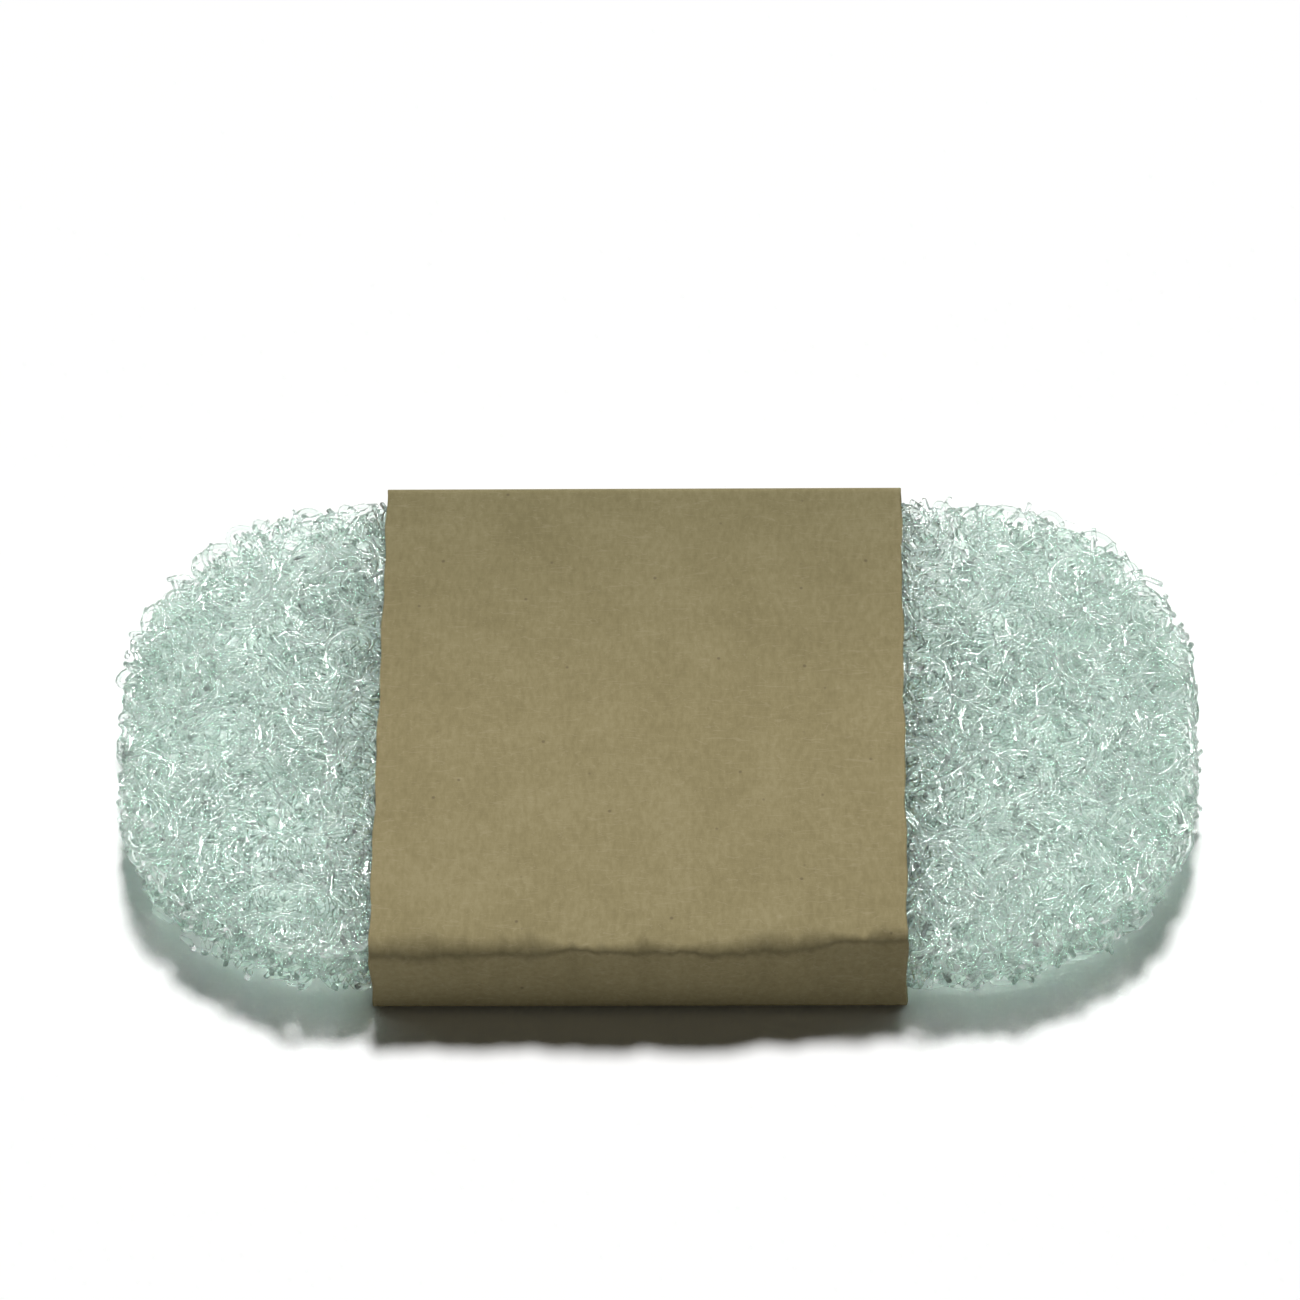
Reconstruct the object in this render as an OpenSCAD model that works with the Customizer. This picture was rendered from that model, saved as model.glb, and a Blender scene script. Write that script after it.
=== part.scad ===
// Soap saver: an open mat of looped plastic filament with rounded ends, in a kraft paper band.
// The mat has three layers of strands: two of rings and rows, with columns across the pad between them.
// X runs along the pad, Y across it, and the band's underside lies at Z = 0.

/* [Pad] */
// Length of the pad, end to end
pad_length = 121; // [100:1:150]
// Width of the pad
pad_width = 63.5; // [56:0.5:80]
// Radius of the four corners of the pad's outline
corner_radius = 26.5; // [24:0.5:28]
// Height of the three layers together
pad_height = 9.8; // [9.6:0.1:13]

/* [Filament] */
// Thickness of the filament
filament_d = 0.8; // [0.6:0.05:0.9]
// Radius of the largest loops, to the middle of the filament
loop_radius = 4.7; // [4.2:0.1:5.4]
// Least step from one loop to the next along a strand
loop_pitch = 6.4; // [6.2:0.1:9]
// How much smaller the smallest loop is, as a share of the largest
loop_unevenness = 0.22; // [0:0.02:0.3]
// Least gap between neighbouring strands of a layer
strand_gap = 0.2; // [0.1:0.05:0.6]
// Gap between one layer and the next
layer_gap = 0.2; // [0.1:0.05:0.4]

/* [Paper band] */
// Length of the band along the pad
band_length = 58.7; // [30:0.1:80]
// How far the middle of the band sits from the middle of the pad
band_offset = -1.7; // [-6:0.1:6]
// Thickness of the paper
paper_t = 0.3; // [0.2:0.05:0.5]
// Outer radius of the four folds
fold_radius = 1.6; // [1:0.1:2.5]
// Free space between the pad and the paper
band_clearance = 0.3; // [0.2:0.05:0.6]
// Length by which the two flaps overlap under the pad
flap_lap = 24; // [16:1:40]

/* [Glue] */
// Thickness of the glue between the flaps
glue_t = 0.1; // [0.05:0.01:0.2]
// Width of the strip of glue
glue_w = 8; // [4:0.5:14]
// Bare paper at each end of the strip of glue
glue_margin = 4; // [2:0.5:10]

/* [Hidden] */
layers = ["bottom", "middle", "top"];
// The outer columns lie at this share of the way out from the middle of the pad
column_reach = 0.96;
// Each loop is drawn with this many rings, of this many points
loop_rings = 9;
section_points = 3;
// How fast the size and the side step of the loops change, in cycles per loop
size_wave = 0.37;
side_wave = 0.23;
// Each strand starts this many degrees further round its first loop and those waves
seed_turn = 137;
// Points that a gap is measured on, for each loop
gap_points = 40;
// Facets of a full turn of the paper's folds
fold_facets = 48;

// What the loops need on each side of a strand's middle line
reach = loop_radius + filament_d / 2;
strand_step = 2 * reach + strand_gap;

// Heights, from the table up: outer flap, glue, inner flap, pad, top panel
inner_flap_z = paper_t + glue_t;
pad_z = inner_flap_z + paper_t + band_clearance;
band_height = pad_z + pad_height + band_clearance + paper_t;
band_depth = pad_width + 2 * (band_clearance + paper_t);

layer_count = len(layers);
layer_height = (pad_height - (layer_count - 1) * layer_gap) / layer_count;
// Rise of a loop for each millimetre along its strand
loop_slope = (layer_height - filament_d) / (2 * loop_radius);

// How far the rims, the inner rings and the rows' ends lie inside the pad's outline
rim_inset = reach;
inner_inset = rim_inset + strand_step;
core_inset = inner_inset + strand_step;

// The rows fill what the inner ring leaves
row_count = floor((pad_width - 2 * core_inset) / strand_step) + 1;

// The columns of the middle layer reach the pad's outline
column_field = column_reach * (pad_length / 2 - rim_inset);
column_count = floor(2 * column_field / strand_step) + 1;
column_step = 2 * column_field / (column_count - 1);

function row_y(i) = (i - (row_count + 1) / 2) * strand_step;
function column_x(i) = (i - (column_count + 1) / 2) * column_step;
function layer_z(layer) = pad_z + layer_height / 2 + layer * (layer_height + layer_gap);

// The outline moved in by an inset keeps straight stretches and gets tighter corners
function corner_at(inset) = max(corner_radius - inset, 0);
function straight_at(size, inset) = size - 2 * inset - 2 * corner_at(inset);

// Length of a straight line across the outline moved in by inset, at a distance aside of the middle
function line_length(along, across, aside, inset) =
    let (r = corner_at(inset), past = max(abs(aside) - straight_at(across, inset) / 2, 0))
    straight_at(along, inset) + 2 * sqrt(max(r ^ 2 - past ^ 2, 0));
function row_length(y) = line_length(pad_length, pad_width, y, core_inset);
function column_length(x) = line_length(pad_width, pad_length, x, rim_inset);
function ring_length(inset) =
    2 * (straight_at(pad_length, inset) + straight_at(pad_width, inset) + PI * corner_at(inset));

// A point at s along a ring's middle line and v outside it, from the middle of the front on.
// Half the ring is a long side, a corner, a short side and a corner, and the rest is that turned round.
function ring_point(s, v, inset) =
    let (r = corner_at(inset), quarter = PI / 2 * r)
    let (long = straight_at(pad_length, inset), short = straight_at(pad_width, inset))
    let (half = ring_length(inset) / 2, from = s + long / 2)
    let (far = floor(from / half) % 2 == 0 ? 1 : -1, on = from % half)
    let (x = min(on, long) - long / 2)
    let (first = min(max(on - long, 0), quarter), y = min(max(on - long - quarter, 0), short) - short / 2)
    let (second = max(on - long - quarter - short, 0))
    let (angle = (first + second) / quarter * 90 - 90)
    far * [x + (r + v) * cos(angle), y + (r + v) * sin(angle)];

// A loop's size changes slowly along its strand, and it steps aside within the room that leaves
function size_at(t, seed) =
    loop_radius * (1 - loop_unevenness * (0.5 + 0.5 * sin(size_wave * t + seed * seed_turn)));
function side_at(t, seed) = (loop_radius - size_at(t, seed)) * sin(side_wave * t - seed * seed_turn);

// A strand after t degrees: [distance along, distance aside, height], from the start of its middle line.
// Its height goes with the distance that a loop is ahead, so a turn passes over the one before it.
function strand_flat(t, pitch, seed) =
    let (r = size_at(t, seed), angle = t + seed * seed_turn, ahead = r * cos(angle))
    let (lean = seed % 2 == 0 ? 1 : -1)
    [pitch * t / 360 + ahead, r * sin(angle) + side_at(t, seed), lean * loop_slope * ahead];

// Whole loops that a length holds
function loops_in(length) = max(floor(length / loop_pitch), 1);

// Flat path of a strand, with a number of rings to each loop
function flat_path(length, seed, rings, left_open = 0) =
    let (loops = loops_in(length))
    [for (j = [0 : loops * rings - left_open]) strand_flat(360 * j / rings, length / loops, seed)];

// A ring goes once round and stops one drawn ring short of its start
function ring_path(inset, layer, seed, rings) =
    let (length = ring_length(inset))
    [for (p = flat_path(length, seed, rings, rings / loop_rings))
        let (xy = ring_point((p[0] + length) % length, p[1], inset))
        [xy[0], xy[1], layer_z(layer) + p[2]]];
function row_path(y, layer, seed, rings) =
    let (length = row_length(y))
    [for (p = flat_path(length, seed, rings)) [p[0] - length / 2, y + p[1], layer_z(layer) + p[2]]];
function column_path(x, layer, seed, rings) =
    let (length = column_length(x))
    [for (p = flat_path(length, seed, rings)) [x - p[1], p[0] - length / 2, layer_z(layer) + p[2]]];

function unit(v) = v / norm(v);

// Points of a filament along a path, one polygon for each point of the path
function filament_points(path) =
    let (last = len(path) - 1)
    [for (j = [0 : last])
        let (ahead = unit(path[min(j + 1, last)] - path[max(j - 1, 0)]))
        let (aside = unit(cross(ahead, [0, 0, 1])), up = cross(aside, ahead))
        for (k = [0 : section_points - 1])
            let (angle = 90 + k * 360 / section_points)
            path[j] + (aside * cos(angle) + up * sin(angle)) * filament_d / 2];

// Two triangles for each side between two polygons, and a fan over each end
function filament_faces(rings) =
    let (n = section_points, base = (rings - 1) * n)
    concat(
        [for (j = [0 : rings - 2], k = [0 : n - 1])
            let (a = j * n + k, b = j * n + (k + 1) % n)
            each [[a, a + n, b], [b, a + n, b + n]]],
        [for (k = [1 : n - 2]) [0, k, k + 1]],
        [for (k = [1 : n - 2]) [base, base + k + 1, base + k]]
    );

module filament(path) {
    polyhedron(points = filament_points(path), faces = filament_faces(len(path)));
}

// Least distance between the surfaces of two turns of one strand, on points of its path
function least_gap(path) =
    let (near = floor(gap_points * 0.6), far = gap_points * 2, last = len(path) - 1)
    min([for (j = [0 : last - near], k = [near : min(far, last - j)]) norm(path[j] - path[j + k])])
        - filament_d;

module rim(layer) {
    color("#b9cfc4")
    filament(ring_path(rim_inset, layer, layer + 1, loop_rings));
}

module inner_ring(layer) {
    color("#b1cabe")
    filament(ring_path(inner_inset, layer, layer + 4, loop_rings));
}

module row(layer, i) {
    color("#a9c4b8")
    filament(row_path(row_y(i), layer, i + 5 * layer, loop_rings));
}

module column(i) {
    color("#9db9ae")
    filament(column_path(column_x(i), 1, i, loop_rings));
}

// Rectangle with round corners, seen from the end of the pad: Y across, Z up
module rounded_outline(depth, low, high, r) {
    translate([-depth / 2 + r, low]) square([depth - 2 * r, high - low]);
    translate([-depth / 2, low + r]) square([depth, high - low - 2 * r]);
    for (y = [r - depth / 2, depth / 2 - r], z = [low + r, high - r])
        translate([y, z]) circle(r, $fn = fold_facets);
}

// One turn of paper whose bottom panel lies at the height given by low
module paper_turn(low) {
    difference() {
        rounded_outline(band_depth, low, band_height, fold_radius);
        rounded_outline(band_depth - 2 * paper_t, low + paper_t, band_height - paper_t,
            fold_radius - paper_t);
    }
}

// The front half of the wrap starts at the table, and the back half lies on the outer flap
module wrap_profile() {
    intersection() {
        paper_turn(0);
        translate([-band_depth, 0]) square([band_depth, band_height]);
    }
    intersection() {
        paper_turn(inner_flap_z);
        square([band_depth, band_height]);
    }
    square([flap_lap / 2, paper_t]);
    translate([-flap_lap / 2, inner_flap_z]) square([flap_lap / 2, paper_t]);
}

module paper_wrap() {
    color("#a8936a")
    translate([band_offset - band_length / 2, 0, 0])
        rotate([90, 0, 90])
            linear_extrude(band_length) wrap_profile();
}

module glue_strip() {
    color("#e6dfc8")
    translate([band_offset - band_length / 2 + glue_margin, -glue_w / 2, paper_t])
        cube([band_length - 2 * glue_margin, glue_w, glue_t]);
}

for (layer = [0, 2]) {
    rim(layer);
    inner_ring(layer);
    for (i = [1 : row_count])
        row(layer, i);
}
for (i = [1 : column_count])
    column(i);
paper_wrap();
glue_strip();

union() {
    echo(rim_least_gap = least_gap(ring_path(rim_inset, 2, 3, gap_points)));
    echo(inner_ring_least_gap = least_gap(ring_path(inner_inset, 2, 6, gap_points)));
    echo(column_least_gap = least_gap(column_path(0, 1, 6, gap_points)));
}
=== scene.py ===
import math

import bpy
import numpy as np
from mathutils import Matrix, Vector


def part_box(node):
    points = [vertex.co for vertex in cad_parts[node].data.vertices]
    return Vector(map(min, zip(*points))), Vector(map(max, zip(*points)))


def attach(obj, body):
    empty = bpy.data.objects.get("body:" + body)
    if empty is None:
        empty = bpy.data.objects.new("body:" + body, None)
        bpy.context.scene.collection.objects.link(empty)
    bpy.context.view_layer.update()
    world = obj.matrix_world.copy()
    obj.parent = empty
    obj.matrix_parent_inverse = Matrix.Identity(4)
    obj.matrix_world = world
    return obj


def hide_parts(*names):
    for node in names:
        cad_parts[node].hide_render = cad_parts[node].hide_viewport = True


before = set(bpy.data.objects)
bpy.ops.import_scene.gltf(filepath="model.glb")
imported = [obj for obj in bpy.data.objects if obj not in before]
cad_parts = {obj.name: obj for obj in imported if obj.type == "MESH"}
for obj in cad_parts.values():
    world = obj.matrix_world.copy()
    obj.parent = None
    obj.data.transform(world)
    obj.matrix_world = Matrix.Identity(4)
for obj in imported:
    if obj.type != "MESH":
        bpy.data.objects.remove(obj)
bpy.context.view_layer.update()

mm = 0.001

# Places that everything is worked out from, all read from the frame
wrapLow, wrapHigh = [np.array(corner, float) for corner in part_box("paper_wrap")]
rimLow, rimHigh = [np.array(corner, float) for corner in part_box("rim_top")]
baseLow = np.array(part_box("rim_bottom")[0], float)
padHalfLength = max(rimHigh[0], -rimLow[0])
padHalfWidth = max(rimHigh[1], -rimLow[1])
padBottom, padTop = baseLow[2], rimHigh[2]
padMiddle = (padTop + padBottom) / 2
padHeight = padTop - padBottom
print("frame read: pad", round(2 * padHalfLength / mm, 1), "by", round(2 * padHalfWidth / mm, 1), "mm")


# Camera

cameraValues = {
    "aimAt": (-1.1 * mm, 17.2 * mm, 0.0),   # point of the table in the middle of the picture
    "azimuth": 2.02,                        # degrees to the right of straight ahead
    "elevation": 52.85,                     # degrees above the table
    "roll": -1.8,                           # degrees, the picture turned the other way
    "distance": 776 * mm,
    "focalPixels": 6816,                    # focal length in pixels of a picture of this width
    "pictureWidth": 1300,
    "sensorWidth": 36.0,                    # the camera's own width for it, in millimetres
    "clip": (0.01, 20.0),                   # metres to the nearest and farthest things seen
}


# The direction to a point far off: the front turned by the azimuth, then raised by the elevation
def directionTo(azimuth, elevation):
    azimuth, elevation = math.radians(azimuth), math.radians(elevation)
    return Vector((math.sin(azimuth) * math.cos(elevation),
                   -math.cos(azimuth) * math.cos(elevation), math.sin(elevation)))


# The camera looks back along one direction, then turns about it by the roll
def makeCamera(values):
    back = directionTo(values["azimuth"], values["elevation"])
    azimuth, roll = math.radians(values["azimuth"]), math.radians(values["roll"])
    right = Vector((math.cos(azimuth), math.sin(azimuth), 0.0))
    up = back.cross(right)
    turned = Matrix((right, up, back)).transposed() @ Matrix.Rotation(roll, 3, "Z")
    data = bpy.data.cameras.new("camera")
    data.sensor_width = values["sensorWidth"]
    data.sensor_fit = "HORIZONTAL"
    data.lens = values["sensorWidth"] * values["focalPixels"] / values["pictureWidth"]
    data.clip_start, data.clip_end = values["clip"]
    camera = bpy.data.objects.new("camera", data)
    camera.matrix_world = Matrix.Translation(
        Vector(values["aimAt"]) + back * values["distance"]) @ turned.to_4x4()
    bpy.context.scene.collection.objects.link(camera)
    bpy.context.scene.camera = camera


makeCamera(cameraValues)
print("camera placed")


# Small tools for meshes and materials

# Puts points and faces, as whole arrays with one array for each kind of face, into a mesh
def meshFromArrays(name, points, *faceSets, smooth=True):
    mesh = bpy.data.meshes.new(name)
    corners = np.concatenate([faces.ravel() for faces in faceSets]).astype(np.int32)
    sizes = np.concatenate([np.full(len(faces), faces.shape[1]) for faces in faceSets])
    mesh.vertices.add(len(points))
    mesh.vertices.foreach_set("co", np.ascontiguousarray(points, np.float32).ravel())
    mesh.loops.add(len(corners))
    mesh.loops.foreach_set("vertex_index", corners)
    mesh.polygons.add(len(sizes))
    mesh.polygons.foreach_set("loop_start", (np.cumsum(sizes) - sizes).astype(np.int32))
    mesh.polygons.foreach_set("use_smooth", np.full(len(sizes), smooth))
    mesh.update(calc_edges=True)
    mesh.validate()
    piece = bpy.data.objects.new(name, mesh)
    bpy.context.scene.collection.objects.link(piece)
    return piece


# A new material with one Principled shader, whose inputs are written with _ for a space
def newMaterial(name, **inputs):
    material = bpy.data.materials.new(name)
    material.use_nodes = True
    shader = material.node_tree.nodes["Principled BSDF"]
    for key, value in inputs.items():
        shader.inputs[key.replace("_", " ")].default_value = value
    return material, material.node_tree, shader


# A new node: each input takes a value or another node's output, and the settings are its own choices
def addNode(tree, kind, inputs=None, **settings):
    node = tree.nodes.new(kind)
    for key, value in settings.items():
        setattr(node, key, value)
    for key, value in (inputs or {}).items():
        if hasattr(value, "links"):
            tree.links.new(value, node.inputs[key])
        else:
            node.inputs[key].default_value = value
    return node


# One operation of arithmetic on the numbers given
def mathOf(tree, operation, *numbers, **settings):
    inputs = dict(enumerate(numbers))
    return addNode(tree, "ShaderNodeMath", inputs, operation=operation, **settings).outputs[0]


# A number carried evenly from one range to another, and held at the ends
def rangeOf(tree, value, ends, toEnds=(0.0, 1.0)):
    return addNode(tree, "ShaderNodeMapRange", {"Value": value, "From Min": ends[0], "From Max": ends[1],
                                                "To Min": toEnds[0], "To Max": toEnds[1]}).outputs[0]


# The place on the object that is being shaded, in metres
def placeOf(tree):
    return addNode(tree, "ShaderNodeTexCoord").outputs["Object"]


# Cloudy noise around 0.5, with that many clouds to a metre, and smaller clouds in them for more detail
def noiseOf(tree, place, scale, detail, **inputs):
    return addNode(tree, "ShaderNodeTexNoise", {"Vector": place, "Scale": scale, "Detail": detail,
                                                **inputs}).outputs["Fac"]


# Two numbers mixed by a share of the second
def mixOf(tree, share, first, second):
    return addNode(tree, "ShaderNodeMix", {"Factor": share, 2: first, 3: second}).outputs[0]


# Values between 0 and 1 become colours, with a list of (place, colour) stops
def rampOf(tree, factor, stops):
    node = addNode(tree, "ShaderNodeValToRGB", {"Fac": factor})
    ramp = node.color_ramp
    while len(ramp.elements) < len(stops):
        ramp.elements.new(0.5)
    for element, (place, colour) in zip(ramp.elements, stops):
        element.position = place
        element.color = (*colour, 1.0)
    return node.outputs["Color"]


# One colour laid over another by a share
def layOver(tree, share, under, over, **settings):
    return addNode(tree, "ShaderNodeMix", {"Factor": share, 6: under, 7: (*over, 1.0)},
                   data_type="RGBA", **settings).outputs[2]


# Smooth wandering between -1 and 1: the mean of sine waves, with random starts and uneven speeds by row
def wander(rng, rows, t, speeds, uneven=(0.7, 1.3)):
    total = np.zeros((rows, t.shape[-1]))
    for speed in speeds:
        rate = speed * rng.uniform(*uneven, (rows, 1))
        total += np.sin(rate * t + rng.uniform(0, 2 * np.pi, (rows, 1)))
    return total / len(speeds)


# A value that wanders as above between two ends
def wanderBetween(ends, rng, rows, t, speeds):
    low, high = ends
    return low + (high - low) * (0.5 + 0.5 * wander(rng, rows, t, speeds))


# Pad: looped filament

padValues = {
    "filament": 0.60 * mm,      # thickness of the filament
    "sides": 10,                # sides of its section
    "tip": 0.4,                 # how far its cut ends bulge, as a share of its radius
    "stepsPerLoop": 14,
    "loopSize": (1.6 * mm, 3.7 * mm),   # smallest and largest radius of a loop
    "loopPitch": 2.8 * mm,      # step from one loop to the next
    "rowStep": 4.4 * mm,        # from one strand of a layer to the next
    "rowUneven": 0.4,           # how far a strand lies off its place, as a share of that step
    "overrun": 1.15,            # how much longer than the pad a strand runs before it is cut
    "strayAlong": 3.0 * mm,     # how far a strand wanders along itself
    "strayAcross": 3.2 * mm,    # to the side
    "strayUp": 0.10,            # and in height, as a share of the pad's
    "swing": 2.6,               # how far its loops turn about the upright, in half turns
    "lean": (8, 78),            # degrees by which loops lean out of the flat
    "press": (1.05, 1.6),       # how stiffly the faces flatten the loops, in the middle and at the face
    "cornerRadius": 26.5 * mm,  # of the outline's four corners
    "cornerSteps": 40,          # places on each of them
    "fuzz": 0.7 * mm,           # how unevenly the cut edge lies
    "fuzzEnds": (-1.0, 0.6),    # from farthest in to farthest out, as shares of the fuzz
    "underBand": 2.8 * mm,      # how round the band presses the pad's long edges
    "leanUnderBand": 2.0 * mm,  # how far it presses the front edge back at the top
    "outlineStrands": 5,        # strands that follow the outline, one above the other
    "outlineInset": (1.7 * mm, 3.6 * mm),  # how far in they lie
    "outlineLoop": (1.0 * mm, 2.3 * mm),   # radius of their loops
    "outlineStray": (1.5 * mm, 0.08),      # how far they wander along, and in height as a share
    "mapShape": 0.3,            # columns for each ring in a column, in the strands' own map
    "mapGap": 0.1,              # free room at each edge of a column, as a share of a side
    "seed": 11,
}

# Waves to a loop in each thing that wanders along a strand
padWaves = {
    "along": (0.21, 0.47, 0.83),
    "across": (0.09, 0.26, 0.61),
    "size": (0.17, 0.43, 0.9),
    "lean": (0.15, 0.37, 0.71),
    "toward": (0.05, 0.13, 0.29),
    "height": (0.11, 0.31, 0.55),
    "outlineAlong": (0.4, 0.7),
    "outlineInset": (0.11, 0.37),
    "outlineSize": (0.17, 0.43),
    "outlineHeight": (0.21, 0.45),
}

# Bundles of strands: name, share of the height where they lie, direction in degrees, CAD nodes
bundles = [
    ("loops_bottom_long", 0.14, 8, ["row_bottom_1", "row_bottom_2"]),
    ("loops_bottom_cross", 0.26, 97, ["inner_ring_bottom"]),
    ("loops_middle_left", 0.38, 52, [f"column_middle_{i}" for i in range(1, 6)]),
    ("loops_middle_right", 0.50, -38, [f"column_middle_{i}" for i in range(6, 12)]),
    ("loops_top_cross", 0.62, 75, ["inner_ring_top"]),
    ("loops_top_slant", 0.74, 31, ["row_top_1", "row_top_2"]),
    ("loops_top_long", 0.86, -14, ["rim_top"]),
]


# Distance inside the oblong outline, a rectangle with round corners: for a point beyond both corner
# lines it is the corner radius less the distance from the corner's middle, and for any other point the
# distance from the nearest side
def insideBy(x, y, values):
    radius = values["cornerRadius"]
    dx = np.abs(x) - (padHalfLength - radius)
    dy = np.abs(y) - (padHalfWidth - radius)
    outside = np.hypot(np.maximum(dx, 0), np.maximum(dy, 0))
    return radius - outside - np.minimum(np.maximum(dx, dy), 0)


# Middle lines of one bundle: a circle of changing size and lean rolls along each straight row. Its plane
# has one level side and one that climbs by the lean, and looks a way that follows from its start.
def strandLines(share, degrees, values, rng):
    rows = int(2 * (padHalfLength + padHalfWidth) / values["rowStep"])
    loops = 2 * padHalfLength / values["loopPitch"] * values["overrun"]
    t = np.linspace(0, 2 * np.pi * loops, int(loops * values["stepsPerLoop"]))[None, :]
    start = rng.uniform(0, 2 * np.pi, (rows, 1))
    along = values["loopPitch"] * (t - t.mean()) / (2 * np.pi)
    uneven = rng.uniform(-values["rowUneven"], values["rowUneven"], (rows, 1))
    across = (np.arange(rows)[:, None] - rows / 2 + uneven) * values["rowStep"]
    along = along + values["strayAlong"] * wander(rng, rows, t, padWaves["along"])
    across = across + values["strayAcross"] * wander(rng, rows, t, padWaves["across"])
    size = wanderBetween(values["loopSize"], rng, rows, t, padWaves["size"])
    lean = wanderBetween(np.radians(values["lean"]), rng, rows, t, padWaves["lean"])
    toward = start * 3 + values["swing"] * wander(rng, rows, t, padWaves["toward"]) * np.pi
    turn = rng.choice([-1.0, 1.0], (rows, 1)) * t + start

    heading = np.radians(degrees)
    ca, sa = np.cos(heading), np.sin(heading)
    level = np.stack([np.cos(toward), np.sin(toward), np.zeros_like(toward)], -1)
    climbing = np.stack([-np.sin(toward) * np.cos(lean), np.cos(toward) * np.cos(lean), np.sin(lean)], -1)
    line = (size * np.cos(turn))[..., None] * level + (size * np.sin(turn))[..., None] * climbing
    line[..., 0] += along * ca - across * sa
    line[..., 1] += along * sa + across * ca
    height = (share - 0.5) + values["strayUp"] * wander(rng, rows, t, padWaves["height"])
    line[..., 2] += height * padHeight
    return line, np.cross(level, climbing)


# Places on the outline at the distances s along it, with the way outwards, and its whole length. It is
# four quarter turns, joined by straight runs.
def outlineAt(s, values):
    radius = values["cornerRadius"]
    turn = np.linspace(0, np.pi / 2, values["cornerSteps"])
    corners = []
    for quarter, (sx, sy) in enumerate([(1, 1), (-1, 1), (-1, -1), (1, -1)]):
        a = turn + quarter * np.pi / 2
        corners.append(np.stack([sx * (padHalfLength - radius) + radius * np.cos(a),
                                 sy * (padHalfWidth - radius) + radius * np.sin(a),
                                 np.cos(a), np.sin(a)], -1))
    line = np.concatenate(corners + [corners[0][:1]])
    far = np.concatenate([[0], np.cumsum(np.hypot(*np.diff(line[:, :2], axis=0).T))])
    return [np.interp(s % far[-1], far, column) for column in line.T], far[-1]


# Middle lines of the strands that follow the outline: a circle of changing size and lean rolls along it
def outlineLines(values, rng):
    rows = values["outlineStrands"]
    strayAlong, strayUp = values["outlineStray"]
    _, length = outlineAt(np.zeros(1), values)
    loops = length / values["loopPitch"]
    t = np.linspace(0, 2 * np.pi * loops, int(loops * values["stepsPerLoop"]))[None, :]
    along = length * t / t.max() + rng.uniform(0, length, (rows, 1))
    along = along + strayAlong * wander(rng, rows, t, padWaves["outlineAlong"])
    (x, y, outX, outY), _ = outlineAt(along, values)
    inset = wanderBetween(values["outlineInset"], rng, rows, t, padWaves["outlineInset"])
    size = np.minimum(wanderBetween(values["outlineLoop"], rng, rows, t, padWaves["outlineSize"]), inset)
    lean = wanderBetween(np.radians(values["lean"]), rng, rows, t, padWaves["lean"])
    out = np.stack([outX, outY, np.zeros_like(outX)], -1)
    side = np.stack([-outY * np.cos(lean), outX * np.cos(lean), np.sin(lean)], -1)
    line = (size * np.cos(t))[..., None] * out + (size * np.sin(t))[..., None] * side
    line[..., 0] += x - inset * outX
    line[..., 1] += y - inset * outY
    height = (np.arange(rows)[:, None] + 0.5) / rows - 0.5
    height = height + strayUp * wander(rng, rows, t, padWaves["outlineHeight"])
    line[..., 2] += height * padHeight
    return line, np.cross(out, side)


# Presses a height into the pad: half the thickness times the hyperbolic tangent of the height, which
# levels off towards the faces
def pressed(z, half, values):
    inMiddle, atFace = values["press"]
    return np.clip(half * np.tanh(z / half * inMiddle) / np.tanh(atFace), -half, half)


# Which points stay: those inside the outline, where each strand is cut a little farther in or out, and
# under the band only those inside its round long edges, of which the front one leans back
def staysInside(line, half, values, rng):
    radius, bend = values["filament"] / 2, values["underBand"]
    x, y, z = line[..., 0], line[..., 1], line[..., 2]
    edge = values["fuzz"] * rng.uniform(*values["fuzzEnds"], (len(line), 1))
    keep = insideBy(x, y, values) > radius - edge
    keep &= np.abs(y) < padHalfWidth - radius
    climb = np.clip((z - padBottom) / padHeight, 0, 1)
    reach = np.abs(y - (y < 0) * values["leanUnderBand"] * climb)
    beyondY = np.maximum(reach - (padHalfWidth - bend), 0)
    beyondZ = np.maximum(np.abs(z - padMiddle) - (half + radius - bend), 0)
    under = (x > wrapLow[0]) & (x < wrapHigh[0])
    return keep & (~under | (np.hypot(beyondY, beyondZ) < bend - radius))


# The strands' own map: they lie side by side in columns, one ring after another, with their closed ends
# together in one corner
def mapOfTubes(rings, ends, sides, values):
    columns = max(int(np.sqrt(values["mapShape"] * rings)), 1)
    perColumn = -(-rings // columns)
    column, rowAt = np.divmod(np.arange(rings), perColumn)
    gap, k = values["mapGap"], np.arange(sides)
    u0 = (column[:, None] + (k + gap) / (sides + 2 * gap)) / columns
    u1 = (column[:, None] + (k + 1 + gap) / (sides + 2 * gap)) / columns
    v0 = np.broadcast_to((rowAt / perColumn)[:, None], u0.shape)
    v1 = np.broadcast_to(((rowAt + 1) / perColumn)[:, None], u0.shape)
    around = [np.stack(corner, -1) for corner in ((u0, v0), (u1, v0), (u1, v1), (u0, v1))]
    cap = np.array([[0.2, 0.2], [0.2, 0.8], [0.8, 0.8]]) / columns
    return np.concatenate([np.stack(around, -2).reshape(-1, 2), np.tile(cap, (ends * sides, 1))])


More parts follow.
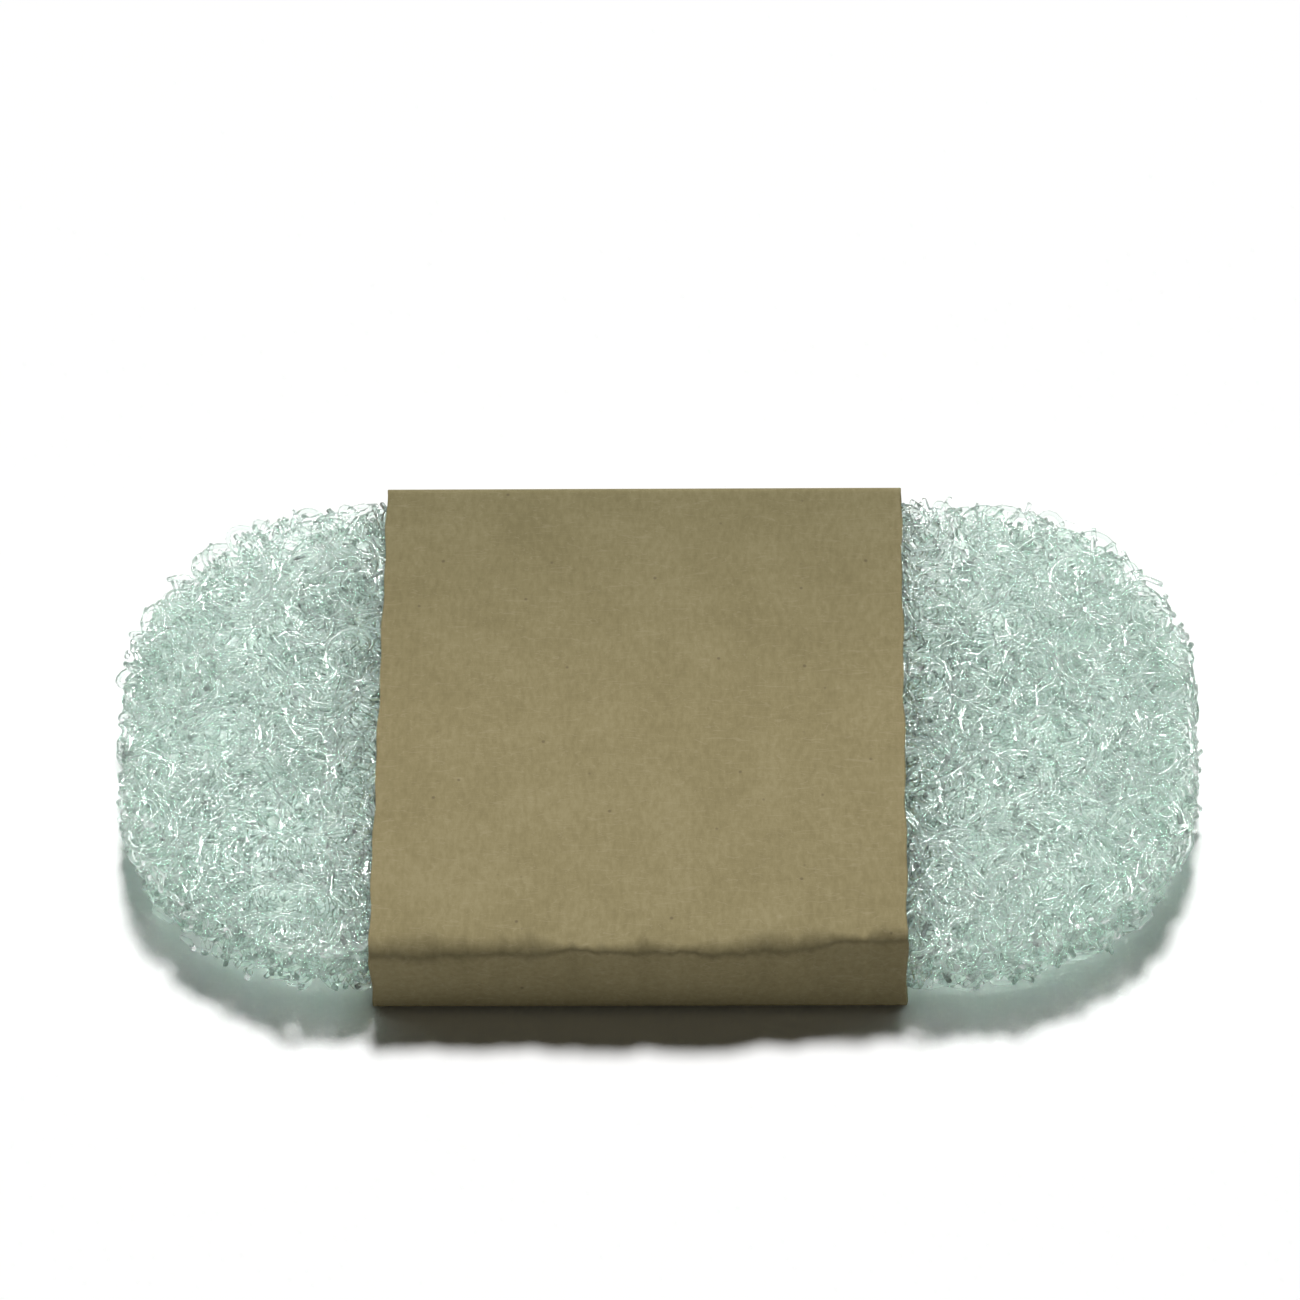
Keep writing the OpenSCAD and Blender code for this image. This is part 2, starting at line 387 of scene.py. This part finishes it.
# Tubes round all the lines at once, where the outline keeps them, with closed ends. A ring is a circle
# square to its line, set out from the loop's normal.
def tubesInside(name, line, normal, values, rng):
    sides, radius = values["sides"], values["filament"] / 2
    half = padHeight / 2 - radius
    line[..., 2] = padMiddle + pressed(line[..., 2], half, values)
    keep = staysInside(line, half, values, rng)

    ahead = np.gradient(line, axis=1)
    ahead /= np.linalg.norm(ahead, axis=-1, keepdims=True)
    first = normal - (normal * ahead).sum(-1, keepdims=True) * ahead
    first /= np.linalg.norm(first, axis=-1, keepdims=True)
    second = np.cross(ahead, first)

    # Only points with a kept neighbour carry a ring
    linked = keep[:, 1:] & keep[:, :-1]
    before, after = np.zeros_like(keep), np.zeros_like(keep)
    before[:, 1:], after[:, :-1] = linked, linked
    used = before | after
    index = np.full(keep.shape, -1)
    index[used] = np.arange(used.sum())

    k = np.arange(sides)
    n = (k + 1) % sides
    around = (k * 2 * np.pi / sides)[:, None]
    rings = line[used][:, None, :] + radius * (np.cos(around) * first[used][:, None, :]
                                               + np.sin(around) * second[used][:, None, :])
    a = index[:, :-1][linked][:, None] * sides
    b = index[:, 1:][linked][:, None] * sides
    quads = np.stack([a + k, a + n, b + n, b + k], -1).reshape(-1, 4)

    # A ring that starts or ends a run gets a middle point and a fan of triangles
    starting, ending = used & ~before, used & ~after
    tips = np.concatenate([line[starting] - ahead[starting] * radius * values["tip"],
                           line[ending] + ahead[ending] * radius * values["tip"]])
    ring = np.concatenate([index[starting], index[ending]])[:, None] * sides
    tip = np.broadcast_to((used.sum() * sides + np.arange(len(tips)))[:, None], (len(tips), sides))
    flip = np.arange(len(tips))[:, None] < starting.sum()
    caps = np.stack([tip, ring + np.where(flip, n, k), ring + np.where(flip, k, n)], -1).reshape(-1, 3)
    piece = meshFromArrays(name, np.concatenate([rings.reshape(-1, 3), tips]), quads, caps)

    uv = mapOfTubes(len(a), len(tips), sides, values)
    piece.data.uv_layers.new(name="OFBake").uv.foreach_set("vector", uv.astype(np.float32).ravel())

    # How pale each strand is, kept on its points
    tone = np.broadcast_to(rng.uniform(0, 1, (len(line), 1)), keep.shape)[used]
    tone = np.concatenate([np.repeat(tone, sides), np.full(len(tips), 0.5)]).astype(np.float32)
    piece.data.attributes.new("tone", "FLOAT", "POINT").data.foreach_set("value", tone)
    return piece


filamentValues = {
    "colour": (0.918, 0.955, 0.938),
    "paler": (0.940, 0.969, 0.955),
    "cloudScale": 170,          # milky clouds to a metre
    "cloudEnds": (0.32, 0.66),  # where in the noise a cloud is deepest and palest
    "strandShare": 0.3,         # how much of the paleness goes by strand instead
    "roughness": 0.0,
    "bending": 1.42,            # refraction, lower than solid plastic's, which softens the tangle
}

# Painted shade: the strands along the outline are tinted deeper, which darkens the pad's edges, where fewer
# strands lie behind them
shadedOutlineValues = {**filamentValues, "colour": (0.842, 0.905, 0.873), "paler": (0.886, 0.940, 0.912)}

lightValues = {
    "bounces": 64,              # light passes through many strands before it comes out again
    "scatteredBounces": 32,
    "clamp": 0.0,               # no limit to a glint of the key light
    "blur": 0.0,                # keeps the light sharp that strands throw on each other and the floor
}


# Clear plastic with a tint. Its paleness follows soft clouds in the pad and differs from strand to strand.
def filamentMaterial(name, values):
    material, tree, shader = newMaterial(name, Roughness=values["roughness"],
                                         IOR=values["bending"], Transmission_Weight=1.0)
    tone = addNode(tree, "ShaderNodeAttribute", attribute_name="tone")
    clouds = rangeOf(tree, noiseOf(tree, placeOf(tree), values["cloudScale"], 2.0), values["cloudEnds"])
    paleness = mixOf(tree, values["strandShare"], clouds, tone.outputs["Fac"])
    colour = rampOf(tree, paleness, [(0.0, values["colour"]), (1.0, values["paler"])])
    tree.links.new(colour, shader.inputs["Base Color"])
    return material


# How far light is followed through the strands, and through them onto the floor
def setLightPaths(values):
    cycles = bpy.context.scene.cycles
    cycles.max_bounces = cycles.transmission_bounces = values["bounces"]
    cycles.diffuse_bounces = cycles.glossy_bounces = values["scatteredBounces"]
    cycles.sample_clamp_indirect = values["clamp"]
    cycles.caustics_refractive = True
    cycles.blur_glossy = values["blur"]


# A finished bundle gets its material, rides on the pad and stands for its CAD nodes
def placeBundle(bundle, material, nodes):
    bundle.data.materials.append(material)
    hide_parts(*nodes)
    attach(bundle, "pad")
    print("strands", bundle.name, len(bundle.data.polygons), "faces")


setLightPaths(lightValues)
filament = filamentMaterial("filament", filamentValues)
# The outline strands' deeper tint is painted shade along the pad's edges
shadedOutlineFilament = filamentMaterial("outline_filament_painted_shade", shadedOutlineValues)
for number, (name, share, degrees, nodes) in enumerate(bundles):
    rng = np.random.default_rng(padValues["seed"] + number)
    line, normal = strandLines(share, degrees, padValues, rng)
    placeBundle(tubesInside(name, line, normal, padValues, rng), filament, nodes)
rng = np.random.default_rng(padValues["seed"] + len(bundles))
line, normal = outlineLines(padValues, rng)
placeBundle(tubesInside("loops_outline", line, normal, padValues, rng), shadedOutlineFilament, ["rim_bottom"])
print("pad done")


# Paper band

bandValues = {
    "foldRadius": 1.3 * mm,     # of the two lower folds and the back one
    "frontFold": (0.5 * mm, 2.8 * mm),  # the top front fold, where it is sharpest and roundest
    "foldWaves": (0.4, (0.9, 5), (0.5, 17)),  # its usual roundness, and each set of waves' share and speed
    "leftRounder": (0.9, 0.5),  # how fast it gets rounder to the left, and from what share of the way on
    "lap": 12 * mm,             # how far each flap passes the middle underneath
    "lapGap": 0.1 * mm,         # the glue's thickness
    "paper": 0.3 * mm,
    "stepsAlong": 236,
    "stepsPerFold": 8,
    "stepsPerPanel": (12, 8, 64, 8, 12),
    "frontLean": 1.5 * mm,      # how far the front leans back at its right end
    "leanFrom": (0.35, 0.6),    # where that starts, and over what share of the way there it grows
    "frontWave": 0.45 * mm,     # how far it wanders elsewhere
    "leanWaves": (0.6, (1.0, 6), (0.8, 19)),  # in the same way
    "ripple": 0.16 * mm,        # small dents along the top front fold
    "rippleWaves": (-1.0, (1.0, 21), (0.6, 47)),  # in the same way, and mostly downwards
    "rippleReach": (2.2 * mm, 3.0 * mm),  # how far from the fold they fade, across the top and down the front
    "crown": 0.10 * mm,         # how far the top rises and sinks
    "crownWaves": ((4.1, 2.3, 0.4), (7.7, -3.1, 0.0)),  # speeds along and across it, and starts
    "crownSink": 1.9,           # taken off their sum, so that it mostly sinks
    "crownDepth": 0.5 * mm,     # how far down the folds it reaches
    "edgeWave": 0.14 * mm,      # how far its cut edges wander
    "edgeWaves": ((31, 2), (83, 0)),  # speeds and starts of the two waves that shape it
    "edgePower": 12,            # how fast it fades inwards from the edges
    "seed": 5,
}


# A smooth curve between -1 and 1: sine waves along t, each quicker and lower than the one before
def waves(t, rng, count=4, quicker=1.7, lower=0.5, uneven=(0.8, 1.2)):
    total = np.zeros_like(t)
    for i in range(count):
        speed = 1 + quicker * i
        wave = np.sin(t * speed * rng.uniform(*uneven) + rng.uniform(0, 2 * np.pi))
        total = total + wave / (1 + lower * i)
    return total / count


# A level with sets of such waves added, each with its share and speed
def wavy(u, rng, level, *sets):
    for share, speed in sets:
        level = level + share * waves(speed * u, rng)
    return level


# The band's section at each place u along it, as a row of points in Y and Z that runs from the outer flap
# round the front, over the top and down the back to the inner flap. Each panel is straight and each fold
# a quarter turn. The radius of the fold at the top front changes along the band.
def bandSection(values, low, high, u, rng):
    thick = values["paper"]
    small, large = values["frontFold"]
    rounder, roundFrom = values["leftRounder"]
    uneven = wavy(u, rng, *values["foldWaves"]) + rounder * np.clip(-u - roundFrom, 0, 1)
    leanStart, leanOver = values["leanFrom"]
    lean = values["frontLean"] * np.clip((u - leanStart) / leanOver, 0, 1)
    lean = lean + values["frontWave"] * np.maximum(wavy(u, rng, *values["leanWaves"]), 0)
    sharp = small + (large - small) * np.clip(uneven, 0, 1)
    plain = np.full_like(u, values["foldRadius"])
    front, back = low[1] + thick / 2, high[1] - thick / 2
    bottom, top = low[2] + thick / 2, high[2] - thick / 2
    inner = bottom + thick + values["lapGap"]
    # For each fold: where its panels meet, the way to its middle, its radius, and the angles of its ends
    folds = [
        (front, bottom, 1, 1, plain, -90, -180),
        (front + lean, top, 1, -1, sharp, 180, 90),
        (back, top, -1, -1, plain, 90, 0),
        (back, inner, -1, 1, plain, 0, -90),
    ]
    previous = np.stack([np.full_like(u, values["lap"]), np.full_like(u, bottom)], -1)
    columns = [previous]
    for steps, (y0, z0, sy, sz, r, a0, a1) in zip(values["stepsPerPanel"], folds):
        angles = np.radians(np.linspace(a0, a1, values["stepsPerFold"] + 1))
        arc = [np.stack([y0 + sy * r + r * np.cos(a), z0 + sz * r + r * np.sin(a)], -1) for a in angles]
        columns += [previous + (arc[0] - previous) * k / steps for k in range(1, steps)]
        columns += arc
        previous = arc[-1]
    last = np.stack([np.full_like(u, -values["lap"]), np.full_like(u, inner)], -1)
    steps = values["stepsPerPanel"][-1]
    columns += [previous + (last - previous) * k / steps for k in range(1, steps + 1)]
    return np.stack(columns)


# The wrap's middle surface as a grid: its section at each place along it. Two slanting waves raise and
# sink the top between its folds, waves dent its front fold, and two waves multiplied shift its cut edges.
def wrapSurface(values, low, high, rng):
    x = np.linspace(low[0], high[0], values["stepsAlong"])
    u = np.linspace(-1, 1, len(x))
    yz = bandSection(values, low, high, u, rng)
    grid = np.concatenate([np.broadcast_to(x, yz.shape[:2])[..., None], yz], -1)
    back, top = high[1] - values["paper"] / 2, high[2] - values["paper"] / 2

    depth = values["crownDepth"]
    onTop = np.clip((grid[..., 2] - (top - depth)) / depth, 0, 1)
    y = grid[..., 1] / back
    fade = np.clip(1 - y ** 2, 0, 1) * onTop
    rise = sum(np.sin(along * u + across * y + start) for along, across, start in values["crownWaves"])
    grid[..., 2] += fade * values["crown"] * (rise - values["crownSink"]) / 2

    dents = wavy(u, rng, *values["rippleWaves"])
    inwards, down = values["rippleReach"]
    nearFold = np.exp(-((grid[..., 1] - low[1]) / inwards) ** 2)
    grid[..., 2] += nearFold * np.clip((grid[..., 2] - (top - down)) / down, 0, 1) * values["ripple"] * dents

    s = np.linspace(0, 1, len(grid))[:, None]
    (firstSpeed, firstStart), (secondSpeed, secondStart) = values["edgeWaves"]
    pull = values["edgeWave"] * (np.abs(u) ** values["edgePower"]) * np.where(u < 0, 1.0, -1.0)
    grid[..., 0] += pull * (1 + np.sin(firstSpeed * s + firstStart) * np.sin(secondSpeed * s + secondStart))
    return grid


# A grid of middle points becomes a closed sheet: both faces half the thickness away, and four edges
def thickSheet(name, grid, thickness):
    rows, cols = grid.shape[:2]
    du, dv = np.gradient(grid, axis=0), np.gradient(grid, axis=1)
    normal = np.cross(dv, du)
    normal /= np.linalg.norm(normal, axis=-1, keepdims=True)
    points = np.concatenate([(grid + normal * thickness / 2).reshape(-1, 3),
                             (grid - normal * thickness / 2).reshape(-1, 3)])
    index = np.arange(rows * cols).reshape(rows, cols)
    other = index + rows * cols
    a, b, c, d = index[:-1, :-1], index[:-1, 1:], index[1:, 1:], index[1:, :-1]
    outside = np.stack([a, b, c, d], -1).reshape(-1, 4)
    inside = np.stack([a, d, c, b], -1).reshape(-1, 4) + rows * cols
    rims = []
    for line, beyond, turned in ((index[0], other[0], True), (index[-1], other[-1], False),
                                 (index[:, 0], other[:, 0], False), (index[:, -1], other[:, -1], True)):
        rim = np.stack([line[:-1], beyond[:-1], beyond[1:], line[1:]], -1)
        rims.append(rim[:, ::-1] if turned else rim)
    return meshFromArrays(name, points, np.concatenate([outside, inside] + rims))


kraftValues = {
    "colour": (0.282, 0.237, 0.121),
    "darker": (0.248, 0.207, 0.103),
    "lighter": (0.318, 0.270, 0.145),
    "toneStops": (0.36, 0.5, 0.64),     # where in the noise the darker, plain and lighter colours lie
    "roughness": 0.86,
    "gloss": 0.2,
    "cloudScale": 140,                  # clouds to a metre
    "grainScale": 1500,
    "grainStretch": (1.0, 0.45, 1.0),   # less than 1 draws the grain out that way
    "grainShare": 0.6,                  # how much of the pattern is grain and not cloud
    "fibre": (0.40, 0.34, 0.21),
    "fibreScale": (260, 1500, 900),     # fibres to a metre each way, after the turn
    "fibreTurn": 0.5,                   # radians
    "fibreBend": 0.6,                   # how much they curl
    "fibreWidth": 0.018,                # how far the noise may be from its middle value in one
    "fibreShare": 0.35,                 # how strongly they show
    "fleck": (0.13, 0.10, 0.06),
    "fleckScale": 420,
    "fleckSize": (0.05, 0.11),          # where a fleck starts to fade and ends, as shares of its cell
    "fleckFrom": 0.72,                  # share of the cells that have none
    "fleckShare": 0.6,
    "paintedBackShade": (0.78, 0.80, 0.79),      # painted shade: what its colour is multiplied by at the back fold
    "paintedBackShadeFrom": 0.0,                 # from here on, in Y, to that fold
    "tooth": (0.25, 0.12 * mm),         # strength and depth of the rough surface
}


# Uncoated kraft: soft clouds, a fine cloudy grain, pale fibres and a few dark flecks, with a faint tooth.
# A fibre is a thin line where a stretched noise passes its middle value, and a fleck is the middle of a
# random cell.
def kraftMaterial(values):
    material, tree, shader = newMaterial("kraft", Roughness=values["roughness"],
                                         Specular_IOR_Level=values["gloss"])
    place = placeOf(tree)
    clouds = noiseOf(tree, place, values["cloudScale"], 4.0)
    stretched = addNode(tree, "ShaderNodeMapping", {"Vector": place, "Scale": values["grainStretch"]})
    grain = noiseOf(tree, stretched.outputs["Vector"], values["grainScale"], 3.0, Roughness=0.65)
    tones = zip(values["toneStops"], (values["darker"], values["colour"], values["lighter"]))
    paper = rampOf(tree, mixOf(tree, values["grainShare"], clouds, grain), list(tones))

    turned = addNode(tree, "ShaderNodeMapping", {"Vector": place, "Rotation": (0.0, 0.0, values["fibreTurn"]),
                                                 "Scale": values["fibreScale"]})
    hair = noiseOf(tree, turned.outputs["Vector"], 1.0, 1.0, Distortion=values["fibreBend"])
    away = mathOf(tree, "ABSOLUTE", mathOf(tree, "SUBTRACT", hair, 0.5))
    fibre = rangeOf(tree, away, (0.0, values["fibreWidth"]), (values["fibreShare"], 0.0))
    paper = layOver(tree, fibre, paper, values["fibre"])

    cells = addNode(tree, "ShaderNodeTexVoronoi", {"Vector": place, "Scale": values["fleckScale"],
                                                   "Randomness": 1.0})
    near = rangeOf(tree, cells.outputs["Distance"], values["fleckSize"], (1.0, 0.0))
    number = addNode(tree, "ShaderNodeSeparateColor", {"Color": cells.outputs["Color"]}).outputs[0]
    fleck = mathOf(tree, "MULTIPLY", near, mathOf(tree, "GREATER_THAN", number, values["fleckFrom"]))
    paper = layOver(tree, mathOf(tree, "MULTIPLY", fleck, values["fleckShare"]), paper, values["fleck"])

    # Painted shade: greyer towards the back fold
    parts = addNode(tree, "ShaderNodeSeparateXYZ", {"Vector": place})
    paintedBackShade = rangeOf(tree, parts.outputs["Y"], (values["paintedBackShadeFrom"], padHalfWidth))
    paper = layOver(tree, paintedBackShade, paper, values["paintedBackShade"], blend_type="MULTIPLY")
    tree.links.new(paper, shader.inputs["Base Color"])
    strength, depth = values["tooth"]
    bump = addNode(tree, "ShaderNodeBump", {"Height": grain, "Strength": strength, "Distance": depth})
    tree.links.new(bump.outputs["Normal"], shader.inputs["Normal"])
    return material


kraft = kraftMaterial(kraftValues)
bandRng = np.random.default_rng(bandValues["seed"])
wrap = thickSheet("kraft_band", wrapSurface(bandValues, wrapLow, wrapHigh, bandRng), bandValues["paper"])
wrap.data.materials.append(kraft)
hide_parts("paper_wrap")
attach(wrap, "band")

glueValues = {
    "darker": (0.66, 0.61, 0.47),
    "paler": (0.78, 0.74, 0.62),
    "cloudEnds": (0.3, 0.7),
    "cloudScale": 400,
    "roughness": 0.45,
}


# Dried glue: soft clouds between two tones
def glueMaterial(values):
    material, tree, shader = newMaterial("dried_glue", Roughness=values["roughness"])
    clouds = noiseOf(tree, placeOf(tree), values["cloudScale"], 2.0)
    colour = rampOf(tree, clouds, list(zip(values["cloudEnds"], (values["darker"], values["paler"]))))
    tree.links.new(colour, shader.inputs["Base Color"])
    return material


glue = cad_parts["glue_strip"]
glue.data.materials.clear()
glue.data.materials.append(glueMaterial(glueValues))
print("paper band done")


# Floor and light

stageValues = {
    "floorHalf": 6.0,           # metres from its middle to each side
    "floorColour": 0.92,
    "floorRoughness": 0.9,
    "floorForCamera": 1.0,      # how pale the camera sees it
    "drop": 0.05 * mm,          # how far it lies below the band, so that the two faces don't coincide
    "sun": 3.50,                # strength of the key light, which is far off and so the same all over
    "sunWidth": 12,             # degrees that it covers, which softens the shadow
    "sunElevation": 61,
    "sunFrom": 178,             # degrees round from the front, so from behind
    "worldLevel": 0.03,         # light from all round
    "worldColour": (1.0, 1.0, 0.85),  # its colour
    "worldSeen": 1.0,           # how pale it shows to the camera and in gloss and clear plastic
}


# 1 for what the camera sees, itself, in gloss or through clear plastic, and 0 for light that is scattered
def seenDirectly(tree):
    path = addNode(tree, "ShaderNodeLightPath").outputs
    mirrored = mathOf(tree, "ADD", path["Is Camera Ray"], path["Is Glossy Ray"])
    return mathOf(tree, "ADD", mirrored, path["Is Transmission Ray"], use_clamp=True)


# One large square, a little below the band
def makeFloor(values):
    half, drop = values["floorHalf"], values["drop"]
    corners = np.array([[x * half, y * half, -drop] for x, y in ((-1, -1), (1, -1), (1, 1), (-1, 1))])
    floor = meshFromArrays("floor", corners, np.array([[0, 1, 2, 3]]), smooth=False)
    material, tree, shader = newMaterial("floor", Roughness=values["floorRoughness"], Specular_IOR_Level=0.0)
    greys = [(0.0, (values["floorColour"],) * 3), (1.0, (values["floorForCamera"],) * 3)]
    tree.links.new(rampOf(tree, seenDirectly(tree), greys), shader.inputs["Base Color"])
    floor.data.materials.append(material)


# The world: faint where it lights things, and white where it is seen
def makeWorld(values):
    world = bpy.data.worlds.new("world")
    bpy.context.scene.world = world
    world.use_nodes = True
    tree = world.node_tree
    background = tree.nodes["Background"]
    seen = seenDirectly(tree)
    colour = rampOf(tree, seen, [(0.0, values["worldColour"]), (1.0, (1.0, 1.0, 1.0))])
    level = rangeOf(tree, seen, (0.0, 1.0), (values["worldLevel"], values["worldSeen"]))
    tree.links.new(colour, background.inputs["Color"])
    tree.links.new(level, background.inputs["Strength"])


# The key light shines from its direction towards the middle of the table
def makeKey(values):
    way = directionTo(values["sunFrom"], values["sunElevation"])
    lamp = bpy.data.lights.new("key", "SUN")
    lamp.energy = values["sun"]
    lamp.angle = math.radians(values["sunWidth"])
    key = bpy.data.objects.new("key", lamp)
    key.matrix_world = Matrix.Translation(way) @ way.to_track_quat("Z", "Y").to_matrix().to_4x4()
    bpy.context.scene.collection.objects.link(key)


makeFloor(stageValues)
makeWorld(stageValues)
makeKey(stageValues)
bpy.context.scene.view_settings.view_transform = "Standard"
print("stage and light done")
